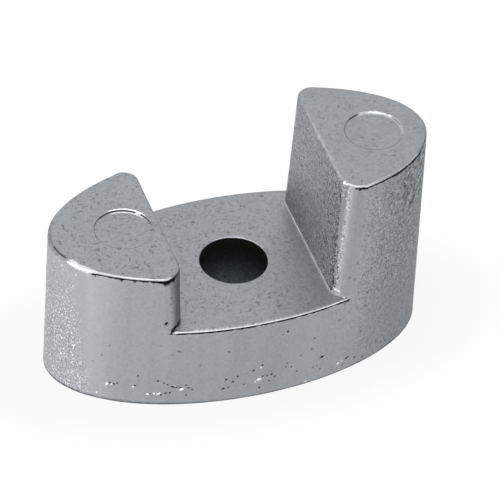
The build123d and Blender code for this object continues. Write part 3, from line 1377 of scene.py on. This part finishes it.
class Graph:
    """Adds nodes to the node tree of a material or a world."""

    def __init__(self, owner: bpy.types.Material | bpy.types.World) -> None:
        """Empties the owner's node tree."""
        owner.use_nodes = True
        self.tree = owner.node_tree
        self.tree.nodes.clear()

    def node(self, kind: str, settings: dict, sockets: dict) -> bpy.types.Node:
        """Adds a node.

        Args:
            kind: type of the node.
            settings: properties, set before the sockets.
            sockets: values or links by the input's name or number.

        Returns:
            The new node.
        """
        made = self.tree.nodes.new(kind)
        for name, value in settings.items():
            setattr(made, name, value)
        for key, value in sockets.items():
            if isinstance(value, Signal):
                value = value.socket
            if isinstance(value, bpy.types.NodeSocket):
                self.tree.links.new(value, made.inputs[key])
            else:
                made.inputs[key].default_value = value
        return made

    def signal(self, kind: str, settings: dict, sockets: dict, output: int | str = 0) -> Signal:
        """Adds a node and returns one of its outputs for use in expressions."""
        return Signal(self, self.node(kind, settings, sockets).outputs[output])

    def parts(self, vector: Signal) -> list[Signal]:
        """X, Y and Z of a vector."""
        split = self.node("ShaderNodeSeparateXYZ", {}, {0: vector})
        return [Signal(self, output) for output in split.outputs]

    def object_place(self) -> Signal:
        """Object coordinates."""
        return self.signal("ShaderNodeTexCoord", {}, {}, "Object")

    def noise(self, place: Signal, size: float, detail: float = 2.0,
              rough: float = 0.5) -> Signal:
        """Noise with features of about a size in millimetres, from 0 to 1."""
        return self.signal("ShaderNodeTexNoise", {"noise_dimensions": "3D"},
                           {"Vector": place, "Scale": 1.0 / (size * MM), "Detail": detail,
                            "Roughness": rough})

    def step(self, value: Signal, low: float, high: float) -> Signal:
        """Smooth step from 0 at low to 1 at high. low may be the larger one."""
        settings = {"interpolation_type": "SMOOTHSTEP"}
        if low < high:
            return self.signal("ShaderNodeMapRange", settings,
                               {"Value": value, "From Min": low, "From Max": high})
        return 1.0 - self.step(value, high, low)

    def scaled(self, colour: Signal | tuple[float, float, float], share: Signal) -> Signal:
        """A colour made lighter or darker by a factor."""
        return self.signal("ShaderNodeVectorMath", {"operation": "SCALE"},
                           {0: colour, "Scale": share})

    def blend(self, share: Signal | float, first: Signal | tuple, last: Signal | tuple) -> Signal:
        """Mixes two colours."""
        return self.signal("ShaderNodeMix", {"data_type": "RGBA"},
                           {0: share, 6: first, 7: last}, 2)

    def bump(self, height: Signal, depth: float, below: Signal | None = None) -> Signal:
        """Bump of a depth in millimetres, over another bump if one is given."""
        sockets = {"Height": height, "Distance": depth * MM, "Strength": 1.0}
        if below is not None:
            sockets["Normal"] = below
        return self.signal("ShaderNodeBump", {}, sockets)


class Measure(Enum):
    """What the edges of zones are measured on: places in mm and parts of the normal."""

    ALONG = "from the bolt hole's axis towards the high end"
    ACROSS = "from that axis towards the back"
    UP = "above the base"
    RAGGED_UP = "above the base, a little uneven"
    FROM_AXIS = "from the bolt hole's axis, all round"
    LOW_TIP = "along, with the lean of the low end's wall"
    ROUND_START = "across, with the lean of the line where the high front corner's round starts"
    ROUND_MIDDLE = "across, with the lean of the middle of that round"
    OUT_X = "the outward normal's part along X"
    OUT_Y = "its part along Y"
    OUT_Z = "its part along Z"


@dataclass(frozen=True)
class Edge:
    """A soft edge of a zone: a factor that goes from least outside to 1 inside."""

    measure: Measure
    outside: float
    inside: float
    least: float = 0.0


@dataclass(frozen=True)
class Zone:
    """A part of the skin within soft edges, and the painted light or shade that makes it lighter
    or darker.
    """

    edges: tuple[Edge, ...]
    # tone: painted light above 0, painted shade below 0
    tone: float = 0.0


FLAT = Edge(Measure.OUT_Z, 0.8, 0.95)
SIDES = Edge(Measure.OUT_Z, 0.95, 0.8)
FRONT = Edge(Measure.OUT_Y, -0.3, -0.52)
RIGHT = Edge(Measure.OUT_X, 0.3, 0.62)
HIGH_END = Edge(Measure.ALONG, 8.5, 10.0)
HIGH_HALF = Edge(Measure.ALONG, 2.0, 6.0)
INNER = Edge(Measure.OUT_X, -0.7, -0.95)
HIGH_CORNER = (HIGH_HALF, Edge(Measure.OUT_Y, -0.34, -0.58), Edge(Measure.OUT_X, -0.54, -0.8),
               Edge(Measure.ALONG, 11.0, 10.0), Edge(Measure.ROUND_MIDDLE, -7.81, -8.05))
BEFORE_CORNER = (HIGH_HALF, SIDES, Edge(Measure.OUT_X, -0.2, -0.5),
                 Edge(Measure.ROUND_MIDDLE, -8.13, -7.93))
# Zones with a tone paint light and shade into the colour: the left faces, the right of the front
# and a strip on the high lobe's front corner are lighter; the low end, the front, the right faces,
# the recess wall and the corners are darker. The others only hold masks for grain, specks and the
# bore.
ZONES = {
    "flat": Zone((FLAT,)),
    "pocked": Zone((FLAT, Edge(Measure.ALONG, 8.0, 4.0, 0.4))),
    "sides": Zone((SIDES,)),
    "bore": Zone((Edge(Measure.FROM_AXIS, 3.72, 3.6), Edge(Measure.RAGGED_UP, 9.95, 9.85))),
    "left_end": Zone((Edge(Measure.LOW_TIP, -16.4, -17.7), SIDES,
                      Edge(Measure.UP, 14.5, 9.5, 0.45)), -0.07),
    "left_face": Zone((Edge(Measure.OUT_X, -0.4, -0.64), Edge(Measure.ALONG, -8.0, -12.0),
                       SIDES), 0.16),
    "right_face": Zone((RIGHT, HIGH_END, SIDES), -0.19),
    "right_tip": Zone((Edge(Measure.OUT_X, 0.62, 0.92), HIGH_END, SIDES), -0.2),
    "upper_right": Zone((RIGHT, SIDES, FRONT, Edge(Measure.ALONG, 12.0, 15.0),
                         Edge(Measure.UP, 15.0, 20.0)), -0.08),
    "front_face": Zone((Edge(Measure.OUT_Y, -0.8, -0.95),), -0.045),
    "front_right": Zone((Edge(Measure.OUT_X, 0.02, 0.14), Edge(Measure.OUT_X, 0.4, 0.26),
                         FRONT), 0.12),
    "towards_right": Zone((Edge(Measure.OUT_X, 0.1, 0.4), Edge(Measure.ALONG, 0.0, 4.0), SIDES,
                           Edge(Measure.OUT_Y, -0.3, -0.52, 0.35),
                           Edge(Measure.UP, 5.0, 12.0, 0.4))),
    "inner_wall": Zone((HIGH_HALF, INNER), -0.11),
    "inner_top": Zone((HIGH_HALF, INNER, Edge(Measure.UP, 16.0, 22.0)), -0.08),
    "inner_front": Zone((HIGH_HALF, INNER, Edge(Measure.ACROSS, 0.0, -7.0))),
    "nearing_corner": Zone(BEFORE_CORNER + (Edge(Measure.ROUND_START, -6.76, -7.06),), -0.143),
    "at_corner": Zone(BEFORE_CORNER + (Edge(Measure.ROUND_START, -7.21, -7.66),), -0.117),
    "bright_corner": Zone(HIGH_CORNER, 0.3),
    "speckled": Zone(HIGH_CORNER + (Edge(Measure.OUT_X, -0.6, -0.82),)),
    "beside_corner": Zone((HIGH_HALF, Edge(Measure.OUT_X, -0.72, -0.5), FRONT,
                           Edge(Measure.OUT_X, 0.0, -0.2), Edge(Measure.ALONG, 11.5, 10.0)), -0.1),
    "dark_corner": Zone((Edge(Measure.OUT_Y, -0.15, -0.4), Edge(Measure.OUT_X, 0.25, 0.6),
                         Edge(Measure.ALONG, -4.0, -6.0)), -0.41),
}


class Masks:
    """Masks of the zones in a material, from where the skin is and which way it faces.

    Each mask is the product of its zone's edges, and each edge is a smooth step.
    """

    tip_lean = 0.1  # mm sideways for each mm up
    start_lean = 0.022
    middle_lean = 0.039
    mouth_cell, mouth_unevenness = 0.3, 0.12  # mm
    front_grain = 1.2  # what the front of the inner wall adds to its grain

    def __init__(self, graph: Graph, place: Signal) -> None:
        """Works out the measures and the masks of all zones.

        Args:
            graph: graph of the material.
            place: object coordinates.
        """
        self.graph = graph
        self.place = place
        along, across, up = (part * (1.0 / MM) for part in graph.parts(place))
        normal = graph.parts(graph.signal("ShaderNodeTexCoord", {}, {}, "Normal"))
        uneven = (graph.noise(place, self.mouth_cell, 1.0) - 0.5) * self.mouth_unevenness
        self.measures = {
            Measure.ALONG: along,
            Measure.ACROSS: across,
            Measure.UP: up,
            Measure.RAGGED_UP: up + uneven,
            Measure.FROM_AXIS: (along * along + across * across).power(0.5),
            Measure.LOW_TIP: along + up * self.tip_lean,
            Measure.ROUND_START: across - up * self.start_lean,
            Measure.ROUND_MIDDLE: across - up * self.middle_lean,
        }
        self.measures.update(zip((Measure.OUT_X, Measure.OUT_Y, Measure.OUT_Z), normal))
        self.factors: dict[Edge, Signal] = {}
        self.masks = {name: self.product(zone.edges) for name, zone in ZONES.items()}
        inner_grain = self["inner_wall"] + self["inner_front"] * self.front_grain
        self.masks["grainy"] = self["towards_right"].most(inner_grain)

    def __getitem__(self, name: str) -> Signal:
        """Mask of a zone."""
        return self.masks[name]

    def factor(self, edge: Edge) -> Signal:
        """Factor of an edge, made once for all the zones that have it."""
        if edge not in self.factors:
            share = self.graph.step(self.measures[edge.measure], edge.outside, edge.inside)
            if edge.least > 0.0:
                share = edge.least + share * (1.0 - edge.least)
            self.factors[edge] = share
        return self.factors[edge]

    def product(self, edges: tuple[Edge, ...]) -> Signal:
        """Product of some edges' factors."""
        result = self.factor(edges[0])
        for edge in edges[1:]:
            result = result * self.factor(edge)
        return result

    def tone(self) -> Signal:
        """1 and the painted light and shade that the zones add to it."""
        return sum((self[name] * zone.tone for name, zone in ZONES.items() if zone.tone), 1.0)


@dataclass(frozen=True)
class Grain:
    """One size of the metal's light and dark grain, and how strong it is in each zone."""

    size: float  # mm
    detail: float
    roughness: float
    everywhere: float
    zones: tuple[tuple[str, float], ...] = ()


@dataclass(frozen=True)
class Specks:
    """Dark specks of one size: where the noise passes a limit, and how strong they are."""

    size: float  # mm
    limit: float
    everywhere: float
    pocked: float
    patches: float


@dataclass(frozen=True)
class CastZinc:
    """Grey zinc alloy as it leaves the mould: satin, fine-grained and a little dirty, with painted
    light and shade.
    """

    base: tuple[float, float, float] = (0.355, 0.375, 0.391)
    # bore is painted near-black shade high in the bolt hole; bore_deep, deeper down, is near the
    # metal's own grey
    bore: tuple[float, float, float] = (0.004, 0.008, 0.004)
    bore_deep: tuple[float, float, float] = (0.31, 0.36, 0.37)
    bore_heights: tuple[float, float] = (9.0, 3.5)  # mm, where the deep colour sets in
    gloss_heights: tuple[float, float] = (8.0, 2.0)  # mm, where the bore gets smoother
    metallic: float = 0.4
    bore_metallic: float = 0.6
    worn_metallic: float = 0.4
    dirt_and_shade_metallic: float = 0.6
    roughness: float = 0.5
    worn_roughness: float = 0.26
    dirt_and_shade_roughness: float = 0.3
    uneven_roughness: float = 0.12
    bore_roughness: float = 0.45
    bore_gloss: float = 0.4
    painted_highlight: float = 1.4
    dirt_and_shade_darkening: float = 0.97
    darkest: float = 0.1
    bands: float = 0.18
    # painted_sparkle: bright dots of painted highlight on the low end
    painted_sparkle: float = 1.1
    sparkle_limits: tuple[float, float] = (0.57, 0.74)
    speck_full: float = 0.74
    patch_limits: tuple[float, float] = (0.36, 0.6)
    coarse_bump: float = 0.012  # mm
    fine_bump: float = 0.02
    smooth_share: float = 0.3  # share of the fine bump where the skin isn't grainy
    grains: tuple[Grain, ...] = (
        Grain(5.0, 2.0, 0.5, 0.10),
        Grain(0.42, 2.0, 0.6, 0.22, (("flat", 0.2), ("grainy", 1.1), ("speckled", 2.2))),
        Grain(0.15, 1.0, 0.6, 0.36,
              (("flat", 0.2), ("grainy", 1.8), ("left_end", 1.6), ("speckled", 3.0))),
        Grain(0.5, 1.0, 0.5, 0.0, (("upper_right", 2.6),)))
    specks: tuple[Specks, ...] = (Specks(0.26, 0.58, 0.05, 0.0625, 0.2),
                                  Specks(0.5, 0.55, 0.03, 0.175, 0.25))

    def shade(self, masks: Masks) -> Signal:
        """Brightness of the metal as a factor about 1: grain and specks, with the zones' painted
        light and shade and a painted sparkle on the low end.
        """
        graph, place = masks.graph, masks.place
        upright = graph.signal("ShaderNodeMapping", {},
                               {"Vector": place, "Scale": (1.0, 1.0, 0.05)})
        tone = masks.tone() + (graph.noise(upright, 1.2) - 0.5) * masks["sides"] * self.bands
        for grain in self.grains:
            noise = graph.noise(place, grain.size, grain.detail, grain.roughness) - 0.5
            tone = tone + noise * sum((masks[name] * share for name, share in grain.zones),
                                      grain.everywhere)
        patches = graph.step(graph.noise(place, 2.6, 1.0), *self.patch_limits)
        for specks in self.specks:
            noise = graph.noise(place, specks.size, 1.0)
            strength = masks["pocked"] * (specks.pocked + patches * specks.patches)
            spots = graph.step(noise, specks.limit, self.speck_full)
            tone = tone - spots * (specks.everywhere + strength)
        painted_sparkle = graph.step(graph.noise(place, 0.18, 0.0), *self.sparkle_limits)
        return (tone + masks["left_end"] * painted_sparkle * self.painted_sparkle).most(self.darkest)

    def colour(self, masks: Masks, tone: Signal) -> Signal:
        """Colour of the skin, with painted near-black shade high in the bore that turns to pale
        grey deeper down.

        Args:
            masks: masks of the zones.
            tone: brightness of the metal outside the bore, as a factor.
        """
        graph = masks.graph
        deep = graph.step(masks.measures[Measure.UP], *self.bore_heights)
        bore = graph.blend(deep, self.bore + (1.0,), self.bore_deep + (1.0,))
        bore = graph.scaled(bore, 0.25 + graph.noise(masks.place, 0.3) * 1.5)
        return graph.blend(masks["bore"], graph.scaled(self.base, tone), bore)

    def relief(self, masks: Masks) -> Signal:
        """Normal of the grained skin, from the masks of the zones."""
        graph, place = masks.graph, masks.place
        rough = masks["grainy"].most(masks["left_end"])
        grain = graph.noise(place, 0.2, 3.0, 0.65)
        grain = grain * (self.smooth_share + rough * (1.0 - self.smooth_share))
        coarse = graph.bump(graph.noise(place, 0.55, 2.0, 0.55), self.coarse_bump)
        return graph.bump(grain, self.fine_bump, coarse)

    def build(self) -> bpy.types.Material:
        """Makes the material."""
        material = bpy.data.materials.new("zinc_as_cast")
        graph = Graph(material)
        place = graph.object_place()
        masks = Masks(graph, place)
        wear_and_highlight, dirt_and_shade = (graph.signal("ShaderNodeAttribute", {"attribute_name": name}, {}, "Fac")
                        for name in ("wear_and_highlight", "dirt_and_shade"))
        # dirt_and_shade darkens the colour, mostly as painted shade in grooves, pits, mark steps
        # and along the base, with some dirt.
        tone = self.shade(masks) * (1.0 - dirt_and_shade * self.dirt_and_shade_darkening)
        # wear_and_highlight lightens the colour as a painted highlight; its lower roughness is the
        # burnishing.
        tone = tone + wear_and_highlight * self.painted_highlight
        deep = graph.step(masks.measures[Measure.UP], *self.gloss_heights)
        uneven = (graph.noise(place, 1.1, 3.0) - 0.5) * self.uneven_roughness
        roughness = self.roughness - wear_and_highlight * (self.roughness - self.worn_roughness) + uneven
        roughness = roughness + dirt_and_shade * self.dirt_and_shade_roughness
        roughness = roughness + masks["bore"] * (self.bore_roughness - deep * self.bore_gloss)
        metallic = self.metallic + wear_and_highlight * self.worn_metallic + dirt_and_shade * self.dirt_and_shade_metallic
        metallic = metallic * (1.0 - masks["bore"]) + masks["bore"] * self.bore_metallic
        shader = graph.node("ShaderNodeBsdfPrincipled", {},
                            {"Base Color": self.colour(masks, tone),
                             "Metallic": metallic, "Roughness": roughness,
                             "Normal": self.relief(masks)})
        graph.node("ShaderNodeOutputMaterial", {}, {"Surface": shader.outputs[0]})
        return material


class Anode:
    """The whole casting: one skin over the slab and both lobes."""

    def __init__(self, sizes: Sizes, steps: Steps, finish: CastZinc,
                 camera: PhotoCamera) -> None:
        """Takes the sizes, the grid steps, the finish and the photograph's camera."""
        self.sizes = sizes
        self.camera = camera
        self.plan = Plan(sizes, steps)
        self.finish = finish

    def build(self) -> bpy.types.Object:
        """Builds the casting, dresses it and puts it in the node's place."""
        skin = Skin()
        high = Lobe(self.plan, End.HIGH, HIGH_RIM)
        low = Lobe(self.plan, End.LOW, LOW_RIM)
        high.build(skin)
        low.build(skin)
        Slab(self.plan).build(skin, high.foot()[0])
        piece = skin.weld("cast_body")
        Skinwork(piece, self.camera, self.sizes).build()
        piece.data.materials.append(self.finish.build())
        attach(piece, "root")
        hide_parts(NODE)
        return piece


@dataclass(frozen=True)
class Softbox:
    """A square lamp, aimed at the object. Its brightness is 1 for the white of paper."""

    name: str
    place: tuple[float, float, float]  # mm
    width: float  # mm
    height: float
    brightness: float
    tint: tuple[float, float, float] = (1.0, 1.0, 1.0)
    aim: tuple[float, float, float] = (0.0, 0.0, 10.0)

    def build(self) -> None:
        """Makes the lamp."""
        data = bpy.data.lights.new(self.name, "AREA")
        data.shape = "RECTANGLE"
        data.size = self.width * MM
        data.size_y = self.height * MM
        data.energy = self.brightness * math.pi * data.size * data.size_y
        data.color = self.tint
        lamp = bpy.data.objects.new(self.name, data)
        here = Vector(self.place)
        turn = (here - Vector(self.aim)).to_track_quat("Z", "Y").to_matrix().to_4x4()
        lamp.matrix_world = Matrix.Translation(here * MM) @ turn
        lamp.visible_camera = False
        bpy.context.scene.collection.objects.link(lamp)


@dataclass
class Studio:
    """White floor, pale surroundings and soft lamps."""

    floor_half: float = 3000.0  # mm
    shadow_share: float = 0.09  # how much of the lamps' light and shade shows on the floor
    shadow_reach: tuple[float, float] = (1.05, 1.7)  # times the foot's size, where it fades out
    foot: tuple[float, float] = (20.0, 9.95)  # mm, half axes of the foot
    foot_edge: tuple[float, float] = (0.85, 1.0)  # the same, inside of which the floor is dark
    hole_edge: tuple[float, float] = (0.1, 0.4)  # the same for what shows in the bolt hole
    hole_glow: float = 0.5  # brightness of the floor there, a painted glow that lights the bolt hole from below
    surroundings: float = 0.05
    paper: tuple[float, float, float, float] = (0.9, 0.9, 0.9, 1.0)
    white: tuple[float, float, float, float] = (1.0, 1.0, 1.0, 1.0)
    lamps: list[Softbox] = field(default_factory=lambda: [
        Softbox("left_softbox", (-330.0, -60.0, 70.0), 300.0, 130.0, 3.0, (1.0, 0.88, 0.885)),
        Softbox("corner_softbox", (-250.0, -250.0, 60.0), 300.0, 110.0, 4.9, (1.0, 0.97, 0.975)),
        Softbox("front_softbox", (-25.0, -400.0, 80.0), 300.0, 160.0, 2.9),
        Softbox("rim_softbox", (-40.0, -100.0, 380.0), 120.0, 40.0, 6.0),
        Softbox("top_softbox", (60.0, 300.0, 350.0), 300.0, 300.0, 1.5),
    ])

    def seen(self, graph: Graph) -> Signal:
        """1 for rays that see the background: from the camera, by gloss or through glass."""
        path = graph.node("ShaderNodeLightPath", {}, {})
        camera, glossy, through = (Signal(graph, path.outputs[name]) for name in
                                   ("Is Camera Ray", "Is Glossy Ray", "Is Transmission Ray"))
        return camera.most(glossy).most(through)

    def world(self) -> None:
        """White to whatever sees it, and a grey light on everything else."""
        world = bpy.data.worlds.new("studio_world")
        graph = Graph(world)
        strength = self.surroundings + self.seen(graph) * (1.0 - self.surroundings)
        shader = graph.node("ShaderNodeBackground", {},
                            {"Color": self.white, "Strength": strength})
        graph.node("ShaderNodeOutputWorld", {}, {"Surface": shader.outputs[0]})
        bpy.context.scene.world = world

    def floor(self) -> None:
        """Pale floor that looks white and keeps a soft shadow round the object."""
        half = self.floor_half * MM
        mesh = bpy.data.meshes.new("studio_floor")
        corners = [(-half, -half, 0.0), (half, -half, 0.0), (half, half, 0.0), (-half, half, 0.0)]
        mesh.from_pydata(corners, [], [(0, 1, 2, 3)])
        floor = bpy.data.objects.new("studio_floor", mesh)
        bpy.context.scene.collection.objects.link(floor)
        material = bpy.data.materials.new("studio_paper")
        graph = Graph(material)
        place = graph.object_place()
        scale = tuple(1.0 / (side * MM) for side in self.foot) + (0.0,)
        place = graph.signal("ShaderNodeMapping", {}, {"Vector": place, "Scale": scale})
        reach = graph.signal("ShaderNodeVectorMath", {"operation": "LENGTH"}, {0: place}, "Value")
        white = 1.0 - self.shadow_share * (1.0 - graph.step(reach, *self.shadow_reach))
        hole = 1.0 - graph.step(reach, *self.hole_edge)
        white = white * (graph.step(reach, *self.foot_edge) + hole * self.hole_glow)
        paper = graph.node("ShaderNodeBsdfDiffuse", {}, {"Color": self.paper})
        glow = graph.node("ShaderNodeEmission", {}, {"Color": self.white})
        shader = graph.node("ShaderNodeMixShader", {},
                            {0: self.seen(graph) * white, 1: paper.outputs[0],
                             2: glow.outputs[0]})
        graph.node("ShaderNodeOutputMaterial", {}, {"Surface": shader.outputs[0]})
        mesh.materials.append(material)

    def build(self) -> None:
        """Makes the floor, the world and the lamps."""
        self.floor()
        self.world()
        for lamp in self.lamps:
            lamp.build()


def report(piece: bpy.types.Object) -> None:
    """Logs a piece's name, number of faces and size."""
    size = ", ".join(f"{side / MM:.2f}" for side in piece.dimensions)
    log.info("%s: %d faces, %s mm", piece.name, len(piece.data.polygons), size)


def main() -> None:
    """Builds the camera, the casting and the studio."""
    logging.basicConfig(level=logging.INFO, format="%(name)s: %(message)s")
    bpy.context.scene.view_settings.view_transform = "Standard"
    sizes = Sizes.from_frame()
    camera = PhotoCamera()
    camera.build(sizes.floor_height)
    report(Anode(sizes, Steps(), CastZinc(), camera).build())
    Studio().build()


if __name__ == "__main__":
    main()
